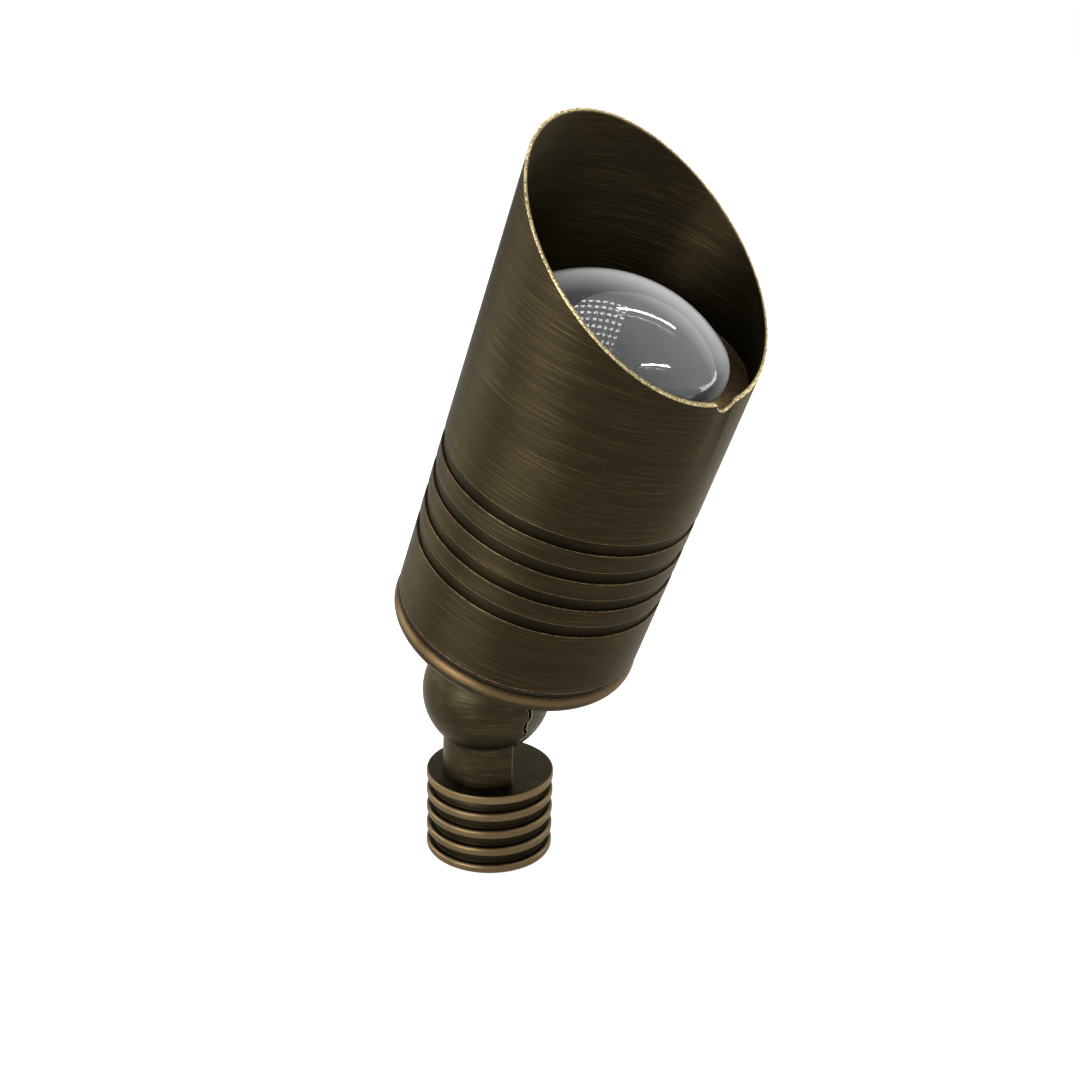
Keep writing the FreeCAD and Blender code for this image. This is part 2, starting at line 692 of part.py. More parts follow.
def lens():
    """Hollow glass dome with a square-edged flange."""
    dome_top = ledge_top + lens_dome_height
    centre = dome_top - lens_dome_radius
    shoulder_r = lens_radius - lens_shoulder_round
    cap_reach = lens_dome_radius - lens_shoulder_round
    shoulder_z = centre + math.sqrt(cap_reach ** 2 - shoulder_r ** 2)
    join_r = shoulder_r * lens_dome_radius / cap_reach
    join_z = centre + (shoulder_z - centre) * lens_dome_radius / cap_reach
    mid_cap = math.asin(join_r / lens_dome_radius) / 2
    mid_turn = (math.pi / 2 + math.asin(join_r / lens_dome_radius)) / 2
    inner_dome = lens_dome_radius - lens_wall
    inner_radius = lens_radius - lens_wall
    inner_join_r = inner_radius - 1.5
    inner_join_z = centre + math.sqrt(inner_dome ** 2 - inner_join_r ** 2)
    inner_mid = math.asin(inner_join_r / inner_dome) / 2
    return turned(
        (inner_radius, lens_bottom), (lens_flange_radius, lens_bottom), (lens_flange_radius, gasket_bottom),
        (lens_radius, gasket_bottom), (lens_radius, shoulder_z),
        ((shoulder_r + lens_shoulder_round * math.sin(mid_turn),
          shoulder_z + lens_shoulder_round * math.cos(mid_turn)), (join_r, join_z)),
        ((lens_dome_radius * math.sin(mid_cap), centre + lens_dome_radius * math.cos(mid_cap)), (0, dome_top)),
        (0, dome_top - lens_wall),
        ((inner_dome * math.sin(inner_mid), centre + inner_dome * math.cos(inner_mid)),
         (inner_join_r, inner_join_z)),
        (inner_radius, inner_join_z - 1.5))


def lens_gasket():
    """Flat silicone ring between the ledge and the lens flange."""
    return ring(lens_radius + gasket_play, lens_flange_radius, gasket_bottom, ledge_bottom)


def lens_ring():
    """Threaded ring under the lens, with two slots for a pin spanner."""
    outer = tube_bore - thread_play
    clamp = ring(outer - lens_ring_width, outer, lens_ring_bottom, lens_bottom)
    return clamp.cut(block(2 * tube_radius, spanner_slot_width, lens_ring_bottom,
                           lens_ring_bottom + spanner_slot_depth))


# ---- Assembly ----

nodes = {
    "ribbed_hub": ribbed_hub(),
    "lower_knuckle": on_stem(lower_knuckle()),
    "knuckle_o_ring": on_stem(knuckle_o_ring()),
    "clamp_bolt": on_stem(clamp_bolt()),
    "spring_washer": on_stem(spring_washer()),
    "upper_knuckle": on_head(upper_knuckle()),
    "neck_o_ring": on_head(neck_o_ring()),
    "base_cap": on_head(base_cap()),
    "nut_washer": on_head(nut_washer()),
    "knuckle_nut": on_head(knuckle_nut()),
    "wire_seal": on_head(wire_seal()),
    "shroud_o_ring": on_head(shroud_o_ring()),
    "socket_bracket": on_head(socket_bracket()),
    "bracket_screws": on_head(bracket_screws()),
    "lamp_holder": on_head(lamp_holder()),
    "holder_screws": on_head(holder_screws()),
    "holder_contacts": on_head(holder_contacts()),
    "socket_leads": on_head(socket_leads()),
    "crimp_caps": on_head(crimp_caps()),
    "lamp_reflector": on_head(lamp_reflector()),
    "lamp_cement": on_head(lamp_cement()),
    "lamp_pins": on_head(lamp_pins()),
    "lamp_capsule": on_head(lamp_capsule()),
    "lamp_front_glass": on_head(lamp_front_glass()),
    "shroud": on_shroud(shroud()),
    "lens": on_shroud(lens()),
    "lens_gasket": on_shroud(lens_gasket()),
    "lens_ring": on_shroud(lens_ring()),
}

os.makedirs("parts", exist_ok=True)
for name, shape in nodes.items():
    shape.exportStep("parts/%s.step" % name)
    print("%-18s solids %d  valid %s  volume %.1f mm3"
          % (name, len(shape.Solids), shape.isValid(), shape.Volume))
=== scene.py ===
"""Brass garden spotlight, dressed over its CAD frame and set in a plain pale studio.

Sizes are written in millimetres and turned to metres where a mesh is made. The stem stands on the floor at
the origin; the head is drawn upright about the knuckle's pivot and then leaned as the frame's joints say.
"""

import json
import math

import bmesh
import bpy
import numpy as np
from mathutils import Matrix, Vector


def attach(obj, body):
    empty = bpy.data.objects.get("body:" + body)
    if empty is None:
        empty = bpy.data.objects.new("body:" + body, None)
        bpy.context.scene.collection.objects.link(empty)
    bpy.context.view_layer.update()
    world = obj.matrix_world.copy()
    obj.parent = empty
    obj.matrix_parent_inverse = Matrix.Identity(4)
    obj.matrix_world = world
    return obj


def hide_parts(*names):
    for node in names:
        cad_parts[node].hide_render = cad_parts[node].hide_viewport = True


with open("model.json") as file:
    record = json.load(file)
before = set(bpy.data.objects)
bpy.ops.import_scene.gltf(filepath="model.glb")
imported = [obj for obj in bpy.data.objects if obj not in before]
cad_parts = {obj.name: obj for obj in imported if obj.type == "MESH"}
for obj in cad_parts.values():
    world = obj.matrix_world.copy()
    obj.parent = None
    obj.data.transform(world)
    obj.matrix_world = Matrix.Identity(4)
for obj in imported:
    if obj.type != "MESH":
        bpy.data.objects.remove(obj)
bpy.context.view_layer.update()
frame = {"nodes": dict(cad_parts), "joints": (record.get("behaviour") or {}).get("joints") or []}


# ---- Picture: the camera, the pale floor and the studio lamps ----
# The light stands on a pale table. The camera looks down on it from the left front. The floor and the
# backdrop show white to the eye and in reflections, and the floor still takes the light's soft shadow.

def add(tree, kind, links=None, **settings):
    """Add one node. Settings are its own fields; links give its sockets a value or another node's output."""
    node = tree.nodes.new(kind)
    for field, value in settings.items():
        setattr(node, field, value)
    for socket, value in (links or {}).items():
        if isinstance(value, bpy.types.NodeSocket):
            tree.links.new(value, node.inputs[socket])
        else:
            node.inputs[socket].default_value = value
    return node


def maths(tree, operation, *values):
    """Output of one arithmetic node on up to three values."""
    return add(tree, "ShaderNodeMath", dict(enumerate(values)), operation=operation).outputs[0]


def ramp(tree, value, start=0.0, end=1.0, low=0.0, high=1.0):
    """Goes from low to high as the value goes from start to end, and stays level beyond them."""
    return add(tree, "ShaderNodeMapRange", {"Value": value, "From Min": start, "From Max": end,
                                            "To Min": low, "To Max": high}).outputs[0]


def linear(code):
    """sRGB hex colour to linear RGBA.

    A channel c becomes c / 12.92 up to 0.04045, and ((c + 0.055) / 1.055) to the power 2.4 above it.
    """
    c = np.array([int(code[k:k + 2], 16) / 255 for k in (1, 3, 5)])
    return (*np.where(c <= 0.04045, c / 12.92, ((c + 0.055) / 1.055) ** 2.4), 1.0)


def new_object(name, data):
    """Object made from its data and linked to the scene."""
    made = bpy.data.objects.new(name, data)
    bpy.context.scene.collection.objects.link(made)
    return made


def stand(at, side, up, out):
    """Matrix that stands an object at a point, with its three axes along the directions given."""
    return Matrix.Translation(at) @ Matrix((side, up, out)).transposed().to_4x4()


camera_right = Vector((0.73549, -0.67700, 0.02673)).normalized()
camera_ahead = Vector((0.64620, 0.68908, -0.32801)).normalized()
camera_up = camera_right.cross(camera_ahead).normalized()
camera = new_object("camera", bpy.data.cameras.new("camera"))
camera.matrix_world = stand((-0.228724, -0.261133, 0.208728), camera_right, camera_up, -camera_ahead)
camera.data.sensor_width = 36.0
camera.data.lens = 47.76
camera.data.clip_start = 0.01
bpy.context.scene.camera = camera
bpy.context.scene.view_settings.view_transform = "Standard"


def in_view(tree):
    """1 for rays that reach the eye, straight, mirrored or through glass, and 0 for those that only light."""
    path = add(tree, "ShaderNodeLightPath").outputs
    seen = path["Is Camera Ray"]
    for kind in ("Is Glossy Ray", "Is Transmission Ray"):
        seen = maths(tree, "MAXIMUM", seen, path[kind])
    return seen


backdrop_light, floor_lift = 0.55, 0.56
world = bpy.data.worlds.new("studio")
bpy.context.scene.world = world
world.use_nodes = True
tree = world.node_tree
tree.nodes.clear()
strength = ramp(tree, in_view(tree), low=backdrop_light)
backdrop = add(tree, "ShaderNodeBackground", {"Color": linear("#ffffff"), "Strength": strength})
add(tree, "ShaderNodeOutputWorld", {"Surface": backdrop.outputs[0]})

floor_reach, floor_z = 6.0, -0.0002
floor_corners = [(x * floor_reach, y * floor_reach, floor_z) for x, y in ((-1, -1), (1, -1), (1, 1), (-1, 1))]
floor_mesh = bpy.data.meshes.new("floor")
floor_mesh.from_pydata(floor_corners, [], [(0, 1, 2, 3)])
floor = new_object("floor", floor_mesh)
# Matt white table top: a diffuse face that keeps the shadow, lifted to white for the eye and in reflections.
table_top = bpy.data.materials.new("matt_white_table")
table_top.use_nodes = True
tree = table_top.node_tree
tree.nodes.clear()
lift = maths(tree, "MULTIPLY", in_view(tree), floor_lift)
matt = add(tree, "ShaderNodeBsdfDiffuse", {"Color": linear("#f2f2f0")})
glow = add(tree, "ShaderNodeEmission", {"Color": linear("#ffffff"), "Strength": lift})
both = add(tree, "ShaderNodeAddShader", {0: matt.outputs[0], 1: glow.outputs[0]})
add(tree, "ShaderNodeOutputMaterial", {"Surface": both.outputs[0]})
floor_mesh.materials.append(table_top)

# Three soft boxes stand low round the light. Two narrow strips and a box behind a louvre hang where the lens
# mirrors them as a long arc, a short dash and a grid of small dashes.

def soft_box(name, aimed_at, way, along, size, power):
    """Area lamp a metre from the point it is aimed at; its first side runs along the given direction."""
    lamp = new_object(name, bpy.data.lights.new(name, "AREA"))
    lamp.data.shape = "RECTANGLE"
    lamp.data.size, lamp.data.size_y = size
    lamp.data.energy = power
    way = Vector(way).normalized()
    side = (Vector(along) - way * way.dot(Vector(along))).normalized()
    lamp.matrix_world = stand(Vector(aimed_at) + way, side, way.cross(side), way)
    return lamp


light_middle, lens_middle = (0, 0, 0.1), (0, -0.042, 0.15)
soft_box("soft_box_left", light_middle, (-1.0, -0.15, 0.20), (-0.15, 1, 0), (0.75, 0.45), 13.4)
soft_box("soft_box_back", light_middle, (-0.62, 0.78, 0.22), (0.78, 0.62, 0), (0.75, 0.45), 7.5)
soft_box("soft_box_right", light_middle, (0.90, -0.40, 0.14), (0.40, 0.90, 0), (0.65, 0.28), 3.0)
soft_box("strip_box_right", lens_middle, (0.58, -0.026, 0.813), (0.40, -0.21, -0.29), (0.55, 0.035), 2.0)
soft_box("strip_box_front", lens_middle, (0.30, -0.635, 0.69), (0.34, 0.01, -0.14), (0.36, 0.02), 1.5)
louvre = soft_box("louvred_box_above", lens_middle, (0.08, 0.02, 0.99), (0.65, -0.75, 0), (0.5, 0.8), 4.0)

# The louvre's cells: each way, the light is shut off over a share of every cell, with a soft edge.
louvre.data.use_nodes = True
tree = louvre.data.node_tree
tree.nodes.clear()
across = add(tree, "ShaderNodeSeparateXYZ", {0: add(tree, "ShaderNodeNewGeometry").outputs["Parametric"]})
cells = []
for axis, count, shut in ((0, 16, 0.35), (1, 14, 0.6)):
    wave = maths(tree, "PINGPONG", maths(tree, "MULTIPLY", across.outputs[axis], count), 1.0)
    cells.append(ramp(tree, wave, shut, shut + 0.15))
open_cell, leak = 3.0, 0.05
lit = maths(tree, "MULTIPLY_ADD", maths(tree, "MULTIPLY", *cells), open_cell, leak)
shine = add(tree, "ShaderNodeEmission", {"Strength": lit})
add(tree, "ShaderNodeOutputLight", {"Surface": shine.outputs[0]})


# ---- Ribbed hub: the coupling that the stake screws into ----
# Turned from brass bar, blackened, then buffed, so that the ribs' rims are rubbed back to tan and the grooves
# stay nearly black. A straight half-inch pipe thread runs up its socket for the stake below.

def soft_outline(corners, steps=4):
    """Rows (r, z, wear, grime) of an outline through corners (r, z, rounding, wear, grime), in mm.

    A corner with rounding becomes an arc tangent to both its sides, with a point set back along each side so
    that the faces beside it stay flat. Wear and grime rise from nothing to the corner's value on the arc. The
    wear mark also carries painted highlight and painted light, and the grime mark also painted shade.
    """
    rows = []
    for k, (r, z, rounding, wear_and_painted_light, grime_and_shade) in enumerate(corners):
        here = np.array([r, z], float)
        if not rounding:
            rows.append([[r, z, wear_and_painted_light, grime_and_shade]])
            continue
        neighbours = (corners[k - 1], corners[(k + 1) % len(corners)])
        back, ahead = (np.array(corner[:2], float) - here for corner in neighbours)
        room = min(np.linalg.norm(back), np.linalg.norm(ahead))
        back, ahead = back / np.linalg.norm(back), ahead / np.linalg.norm(ahead)
        half = math.acos(np.clip(back @ ahead, -1, 1)) / 2
        reach = rounding / math.tan(half)
        middle = here + (back + ahead) / np.linalg.norm(back + ahead) * rounding / math.sin(half)
        turn = math.pi - 2 * half
        t = np.linspace(0, 1, steps + 1)[:, None]
        arc = middle + (np.sin((1 - t) * turn) * (here + back * reach - middle)
                        + np.sin(t * turn) * (here + ahead * reach - middle)) / math.sin(turn)
        set_back = min(reach + 1.2 * rounding, 0.48 * room)
        points = np.vstack([here + back * set_back, arc, here + ahead * set_back])
        rise = np.concatenate([[0], 0.5 + 0.5 * np.sin(np.pi * t[:, 0]), [0]])
        rows.append(np.column_stack([points, wear_and_painted_light * rise, grime_and_shade * rise]))
    return np.vstack(rows)


corner_rows = 7  # rows that a rounded corner gives: five on the arc and one set back along each side


def skin(name, grid, marks=None, uv=None):
    """Mesh object over a grid of points in mm, shape (columns, rows, 3), that closes on itself both ways.

    Faces are the grid's quads, turned to point outwards by the sign of the enclosed volume; points that fall
    together, as at a pole, are merged. Marks are point attributes on the same grid; uv is in mm, with one
    column and one row more than the grid.
    """
    columns, rows = grid.shape[:2]
    i, j = np.meshgrid(np.arange(columns), np.arange(rows), indexing="ij")
    steps = ((0, 0), (1, 0), (1, 1), (0, 1))
    quads = np.stack([(i + a) % columns * rows + (j + b) % rows for a, b in steps], -1).reshape(-1, 4)
    points = grid.reshape(-1, 3) * 0.001
    a, b, c, d = (points[quads[:, k]] for k in range(4))
    volume = (a * (np.cross(b, c) + np.cross(c, d))).sum()
    order = [0, 1, 2, 3] if volume > 0 else [0, 3, 2, 1]
    mesh = bpy.data.meshes.new(name)
    mesh.vertices.add(len(points))
    mesh.vertices.foreach_set("co", points.ravel())
    mesh.loops.add(quads.size)
    mesh.loops.foreach_set("vertex_index", quads[:, order].ravel())
    mesh.polygons.add(len(quads))
    mesh.polygons.foreach_set("loop_start", np.arange(0, quads.size, 4))
    mesh.polygons.foreach_set("use_smooth", np.ones(len(quads), bool))
    mesh.update(calc_edges=True)
    if uv is not None:
        at_corners = np.stack([uv[i + a, j + b] for a, b in steps], 2).reshape(-1, 4, 2)[:, order] * 0.001
        mesh.uv_layers.new(name="along_surface").data.foreach_set("uv", at_corners.ravel())
    for mark, values in (marks or {}).items():
        values = values.ravel().astype(np.float32)
        mesh.attributes.new(mark, "FLOAT", "POINT").data.foreach_set("value", values)
    work = bmesh.new()
    work.from_mesh(mesh)
    bmesh.ops.remove_doubles(work, verts=work.verts, dist=1e-7)
    work.to_mesh(mesh)
    work.free()
    return new_object(name, mesh)


def turned(name, outline, put, angles=256):
    """Solid of revolution: the outline's (r, z) swept to (r sin a, -r cos a, z), then put in its place.

    Its UV runs round the axis one way and along the outline the other.
    """
    a = np.linspace(0, 2 * np.pi, angles, endpoint=False)[:, None]
    r, z = outline[:, 0], outline[:, 1]
    grid = np.stack([r * np.sin(a), -r * np.cos(a), z + 0 * a], -1)
    sides = np.diff(outline[:, :2], axis=0, append=outline[:1, :2])
    along = np.concatenate([[0], np.cumsum(np.linalg.norm(sides, axis=1))])
    round_by = np.linspace(0, 2 * np.pi * r.max(), angles + 1)
    uv = np.stack(np.meshgrid(round_by, along, indexing="ij"), -1)
    marks = {"wear_and_painted_light": outline[:, 2] + 0 * a, "grime_and_shade": outline[:, 3] + 0 * a}
    return skin(name, put(grid), marks=marks, uv=uv)


def on_stem(grid):
    """Stem pieces are drawn where they stand."""
    return grid


def new_material(name):
    """Empty node material with its tree and its Object coordinates."""
    made = bpy.data.materials.new(name)
    made.use_nodes = True
    made.node_tree.nodes.clear()
    where = add(made.node_tree, "ShaderNodeTexCoord").outputs["Object"]
    return made, made.node_tree, where


def noise(tree, where, scale, detail, **more):
    """Noise value at a point; the scale is in cells a metre."""
    links = {"Vector": where, "Scale": scale, "Detail": detail}
    return add(tree, "ShaderNodeTexNoise", {**links, **more}).outputs["Fac"]


def brush_lines(tree, where, axis_at, axis_lean, line, low, high, detail=3.0):
    """Lines of a length and width in mm round an axis: noise squeezed along it, kept where it is high."""
    length, width = (side * 0.001 for side in line)
    laid = add(tree, "ShaderNodeMapping", {"Vector": where, "Location": Vector(axis_at) * 0.001,
                                           "Rotation": axis_lean, "Scale": (length, length, width)},
               vector_type="TEXTURE")
    return ramp(tree, noise(tree, laid.outputs[0], 1.0, detail, Roughness=0.6), low, high)


def mix(tree, share, first, second, blend="MIX"):
    """Colour between two, by share."""
    return add(tree, "ShaderNodeMix", {0: share, 6: first, 7: second}, data_type="RGBA", blend_type=blend
               ).outputs[2]


lacquer_tint = linear("#e6e2d8")


def blackened_brass(name, colours, line, axis_at=(0, 0, 0), lean=0.0, roughness=0.5, stretch=0.8, bare=0.0,
                    worn_from=0.25, dash=1.0, sawn=None):
    """Brass darkened to an antique brown and brushed round its axis, under a thin satin lacquer.

    Colours: the dark ground, the coppery brush lines, the rubbed edges and the grime in the corners; the
    rubbed colour also paints highlight and light, and the grime colour also paints shade. Lines lean a little
    both ways, as a hand-held pad leaves them. The marks wear and grime say where edges are rubbed and
    corners dark, and also where painted highlight, painted light and painted shade fall; with two sawn
    colours, the mark lip says where a cut edge sparkles.
    """
    made, tree, where = new_material(name)
    ground, copper, rubbed, grime_and_shade = (linear(c) for c in colours)
    crossing = [brush_lines(tree, where, axis_at, (lean + dx, dy, 0), line, 0.57, 0.8)
                for dx, dy in ((0.035, 0.05), (-0.05, -0.03))]
    hair = (line[0] * 0.6, line[1] * 0.5)
    fine = brush_lines(tree, where, axis_at, (lean, 0.01, 0), hair, 0.3, 0.7, detail=2.0)
    patch_width = 9.0
    broad = noise(tree, where, 1000 / patch_width, 3.0)
    lines = maths(tree, "MULTIPLY", maths(tree, "MAXIMUM", *crossing), broad)
    colour = mix(tree, lines, ground, copper)
    colour = mix(tree, 1.0, colour, ramp(tree, fine, low=0.82, high=1.12), "MULTIPLY")
    # The wear mark brings rubbed edges and also painted highlight and painted light; the grime mark brings
    # grime and also painted shade.
    worn = add(tree, "ShaderNodeAttribute", attribute_name="wear_and_painted_light").outputs["Fac"]
    dashed = maths(tree, "MULTIPLY_ADD", noise(tree, where, 900.0, 2.0), dash, bare - 0.5 * dash)
    worn = ramp(tree, maths(tree, "ADD", worn, dashed), worn_from, worn_from + 0.5)
    colour = mix(tree, worn, colour, rubbed)
    dirt_and_painted_shade = add(tree, "ShaderNodeAttribute", attribute_name="grime_and_shade").outputs["Fac"]
    colour = mix(tree, dirt_and_painted_shade, colour, grime_and_shade)
    if sawn:
        lip = add(tree, "ShaderNodeAttribute", attribute_name="lip").outputs["Fac"]
        grit = ramp(tree, noise(tree, where, 2600.0, 2.0), 0.38, 0.6)
        colour = mix(tree, lip, colour, mix(tree, grit, *(linear(c) for c in sawn)))
    rough = ramp(tree, fine, low=roughness - 0.05, high=roughness + 0.07)
    height = maths(tree, "ADD", fine, lines)
    bump = add(tree, "ShaderNodeBump", {"Strength": 0.25, "Distance": 0.00003, "Height": height})
    tangent = add(tree, "ShaderNodeTangent", direction_type="UV_MAP", uv_map="along_surface")
    shader = add(tree, "ShaderNodeBsdfPrincipled", {
        "Base Color": colour, "Metallic": 1.0, "Roughness": rough, "Normal": bump.outputs[0],
        "Anisotropic": stretch, "Anisotropic Rotation": 0.25, "Tangent": tangent.outputs[0],
        "Specular Tint": lacquer_tint})
    add(tree, "ShaderNodeOutputMaterial", {"Surface": shader.outputs[0]})
    return made


hub_radius, hub_height, rib_count, rib_height, rib_depth = 17.15, 23.0, 5, 2.4, 1.8
thread_radius, thread_mouth, socket_depth, stop_top, stop_bore = 9.95, 0.8, 11.0, 13.0, 7.5
rib_round, floor_round = 0.75, 0.25
groove_height = (hub_height - rib_count * rib_height) / (rib_count - 1)
hub_floor = hub_radius - rib_depth
foot_underside = hub_height - rib_height
corners = []
for k in range(rib_count - 1):
    low = k * (rib_height + groove_height)
    # The lowest rib's underside is the hub's own, in to the mouth of the thread.
    corners += [(hub_floor, low, floor_round, 0, 1.0) if k else (thread_radius + thread_mouth, low, 0, 0, 0),
                (hub_radius, low, rib_round, 1.0, 0), (hub_radius, low + rib_height, rib_round, 1.0, 0),
                (hub_floor, low + rib_height, floor_round, 0, 1.0)]
corners += [(hub_floor, foot_underside, 0, 0, 1.0), (thread_radius, foot_underside, 0, 0, 0),
            (thread_radius, stop_top, 0, 0, 0), (stop_bore, stop_top, 0, 0, 0),
            (stop_bore, socket_depth, 0.2, 0.3, 0), (thread_radius, socket_depth, 0.2, 0, 0.6)]
thread_z = np.linspace(socket_depth - 0.8, thread_mouth, 96)
thread_wall = np.column_stack([0 * thread_z + thread_radius, thread_z, 0 * thread_z, 0 * thread_z])
outline = np.vstack([soft_outline(corners), thread_wall])

# Outside, the marks follow the radius: rims that a buffing wheel reaches are rubbed, the grooves are dark.
outside = outline[:, 0] > 13.5
outline[:, 2] = outside * np.clip((outline[:, 0] - hub_radius + 0.9) / 0.6, 0, 1)
outline[outline[:, 0] > hub_radius - 0.02, 2] = 0.66
outline[:, 3] = outside * np.clip((hub_radius - 0.7 - outline[:, 0]) / 0.8, 0, 1)
ribbed_hub = turned("ribbed_hub_body", outline, on_stem, 288)

# The thread: radius grows by a triangle wave of the turn and the height, 14 threads to the inch.
thread_pitch, thread_depth, run_out = 1.814, 0.55, 1.2
at = np.array([v.co for v in ribbed_hub.data.vertices]) * 1000
radius = np.hypot(at[:, 0], at[:, 1])
turn = np.arctan2(at[:, 0], -at[:, 1]) / (2 * np.pi)
in_bore = (np.abs(radius - thread_radius) < 0.01) & (at[:, 2] < socket_depth - 0.7) & (at[:, 2] > 0.79)
wave = np.abs((at[:, 2] / thread_pitch + turn) % 1.0 - 0.5) * 2
fade = (np.clip((at[:, 2] - thread_mouth) / run_out, 0, 1)
        * np.clip((socket_depth - 0.8 - at[:, 2]) / run_out, 0, 1))
grown = 1 + in_bore * fade * thread_depth * wave / np.maximum(radius, 1)
at[:, :2] *= grown[:, None]
ribbed_hub.data.vertices.foreach_set("co", (at * 0.001).ravel())
ribbed_hub.data.update()

hub_brass = blackened_brass("antique_brass_buffed_ribs", ("#2a2519", "#443926", "#5c4d36", "#1f1b12"),
                            line=(9.0, 0.35), roughness=0.42, stretch=0.4, worn_from=0.3, dash=0.35)
ribbed_hub.data.materials.append(hub_brass)
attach(ribbed_hub, "stem")
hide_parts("ribbed_hub")


# ---- Lower knuckle: the stem's toothed half ball ----
# A brass casting, turned on its ball and neck, with radial teeth cut in its flat. Its round foot is the hub's
# top rib, and its hollow stud screws into the hub.

def dress(node, material):
    """Give a carried-over CAD piece its real material."""
    piece = frame["nodes"][node]
    for slot in piece.material_slots:
        slot.material = material
    if not piece.material_slots:
        piece.data.materials.append(material)
    piece.data.polygons.foreach_set("use_smooth", np.ones(len(piece.data.polygons), bool))


def cast_brass(name, colours, axis_at=(0, 0, 0), lean=0.0, foot=None):
    """Blackened brass casting, turned round its axis.

    Rays sent inwards find the sharp edges, which are rubbed back, and rays sent outwards find the creases,
    which are darkened nearly black: dark patina with painted shade. A foot (radius, top) has a buffed rim.
    """
    line, roughness, edge, crease = (10.0, 0.35), 0.46, 0.35, 2.2
    made, tree, where = new_material(name)
    ground, copper, rubbed, grime_and_shade = (linear(c) for c in colours)
    crossing = [brush_lines(tree, where, axis_at, (lean + dx, dy, 0), line, 0.45, 0.8)
                for dx, dy in ((0.03, 0.02), (-0.02, -0.04))]
    hair = (line[0] * 0.6, line[1] * 0.5)
    fine = brush_lines(tree, where, axis_at, (lean, 0, 0), hair, 0.3, 0.7, detail=2.0)
    blotch = ramp(tree, noise(tree, where, 220.0, 4.0, Roughness=0.65), 0.3, 0.7)
    lines = maths(tree, "MULTIPLY", maths(tree, "MAXIMUM", *crossing), blotch)
    colour = mix(tree, lines, ground, copper)
    colour = mix(tree, 1.0, colour, ramp(tree, fine, low=0.7, high=1.25), "MULTIPLY")
    inward = add(tree, "ShaderNodeAmbientOcclusion", {"Distance": edge * 0.001}, inside=True, only_local=True,
                 samples=6)
    worn = ramp(tree, inward.outputs["AO"], 0.92, 0.6)
    if foot:
        rim, rim_top = foot
        split = add(tree, "ShaderNodeSeparateXYZ", {0: where}).outputs
        level = add(tree, "ShaderNodeCombineXYZ", {0: split[0], 1: split[1]})
        reach = add(tree, "ShaderNodeVectorMath", {0: level.outputs[0]}, operation="LENGTH").outputs["Value"]
        buffed = ramp(tree, reach, (rim - 0.5) * 0.001, (rim - 0.15) * 0.001)
        low = maths(tree, "LESS_THAN", split[2], (rim_top + 0.1) * 0.001)
        worn = maths(tree, "MAXIMUM", worn, maths(tree, "MULTIPLY", buffed, low))
    colour = mix(tree, worn, colour, rubbed)
    # Rays sent outwards find the creases; there the colour goes towards the grime colour, nearly black: dark
    # patina with painted shade.
    outward = add(tree, "ShaderNodeAmbientOcclusion", {"Distance": crease * 0.001}, only_local=True,
                  samples=6)
    colour = mix(tree, ramp(tree, outward.outputs["AO"], 0.86, 0.38), colour, grime_and_shade)
    rough = ramp(tree, fine, low=roughness - 0.06, high=roughness + 0.08)
    rounded = add(tree, "ShaderNodeBevel", {"Radius": edge * 0.0007}, samples=6)
    bump = add(tree, "ShaderNodeBump", {"Strength": 0.25, "Distance": 0.00003, "Height": fine,
                                        "Normal": rounded.outputs[0]})
    shader = add(tree, "ShaderNodeBsdfPrincipled", {
        "Base Color": colour, "Metallic": 1.0, "Roughness": rough, "Normal": bump.outputs[0],
        "Specular Tint": lacquer_tint})
    add(tree, "ShaderNodeOutputMaterial", {"Surface": shader.outputs[0]})
    return made


knuckle_brass = cast_brass("antique_brass_turned_casting", ("#231f15", "#443c27", "#5b4d36", "#0b0a07"),
                           foot=(hub_radius, hub_height))
dress("lower_knuckle", knuckle_brass)


# ---- Clamp bolt, spring washer and the ring between the halves ----
# Stainless screw and split washer, put in from the far side; a black rubber ring closes the toothed gap.

def steel(name, code, roughness=0.32):
    """Machined or plated metal: fine random scratches that change its gloss."""
    made, tree, where = new_material(name)
    scratch = noise(tree, where, 1500.0, 4.0)
    rough = ramp(tree, scratch, low=roughness - 0.1, high=roughness + 0.12)
    bump = add(tree, "ShaderNodeBump", {"Strength": 0.15, "Distance": 0.00002, "Height": scratch})
    colour = mix(tree, 0.12, linear(code), mix(tree, scratch, linear(code), linear("#ffffff")))
    shader = add(tree, "ShaderNodeBsdfPrincipled", {
        "Base Color": colour, "Metallic": 1.0, "Roughness": rough, "Normal": bump.outputs[0]})
    add(tree, "ShaderNodeOutputMaterial", {"Surface": shader.outputs[0]})
    return made


def soft_solid(name, dark, light, roughness, grain, bump_depth=0.02, ior=1.5):
    """Moulded or fired stuff: two close tones in a fine grain (mm), with the same grain as bump (mm)."""
    made, tree, where = new_material(name)
    grains = noise(tree, where, 1000 / grain, 4.0)
    colour = mix(tree, grains, linear(dark), linear(light))
    rough = ramp(tree, grains, low=roughness - 0.06, high=roughness + 0.06)
    bump = add(tree, "ShaderNodeBump", {"Strength": 0.3, "Distance": bump_depth * 0.001, "Height": grains})
    shader = add(tree, "ShaderNodeBsdfPrincipled", {
        "Base Color": colour, "Roughness": rough, "Normal": bump.outputs[0], "IOR": ior})
    add(tree, "ShaderNodeOutputMaterial", {"Surface": shader.outputs[0]})
    return made


black_rubber = soft_solid("black_nitrile_rubber", "#15120e", "#201c16", 0.8, 0.4, ior=1.15)
bright_steel = steel("machined_stainless_steel", "#b9b7b2")
dress("knuckle_o_ring", black_rubber)
dress("clamp_bolt", bright_steel)
dress("spring_washer", bright_steel)


